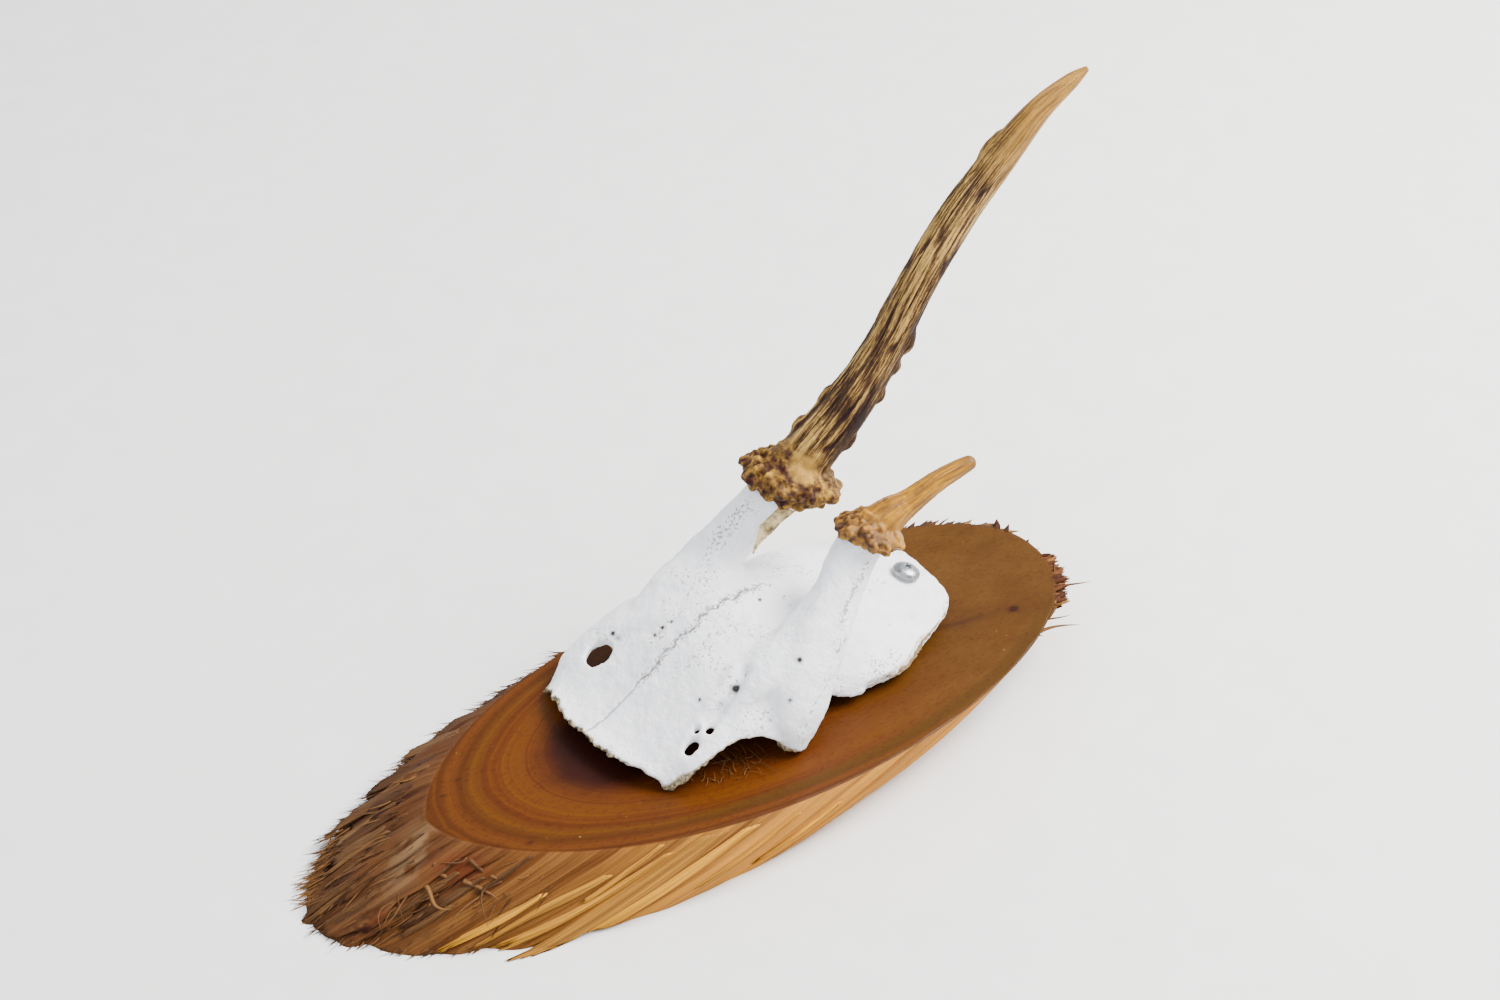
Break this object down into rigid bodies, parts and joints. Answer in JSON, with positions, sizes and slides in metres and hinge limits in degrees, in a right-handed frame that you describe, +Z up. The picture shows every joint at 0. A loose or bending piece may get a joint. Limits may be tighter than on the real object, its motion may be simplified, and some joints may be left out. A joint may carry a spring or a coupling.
{
  "type": "mounted deer antler trophy",
  "caption": "Painted roe deer skull cap with one long curved antler and one short spike, screwed to a slanted slice of branch wood with its bark on.",
  "frame": {"origin": "centre of the wooden slice's flat underside", "axes": "+X along the slice towards the end that overhangs, which is also where the antlers lean; +Y across the slice, towards the long antler's side; +Z up, out of the sawn face that carries the skull cap"},
  "size_m": [0.2519, 0.088, 0.1622],
  "materials": {
    "varnished_wood": "satin varnish on the saw cut, bare torn wood and bark on the sides",
    "painted_bone": "matte white paint over bone, worn grey in the pores and at the front edge",
    "antler_brown": "rough brown antler with cream ridges and a smooth ochre tip",
    "antler_honey": "smooth honey-coloured antler over a reddish nodular burr",
    "zinc_screw": "zinc plated"
  },
  "bodies": {
    "root": {"wood_slab": "varnished_wood", "skull_cap": "painted_bone", "antler_tall": "antler_brown", "antler_short": "antler_honey", "screw": "zinc_screw"}
  },
  "joints": []
}
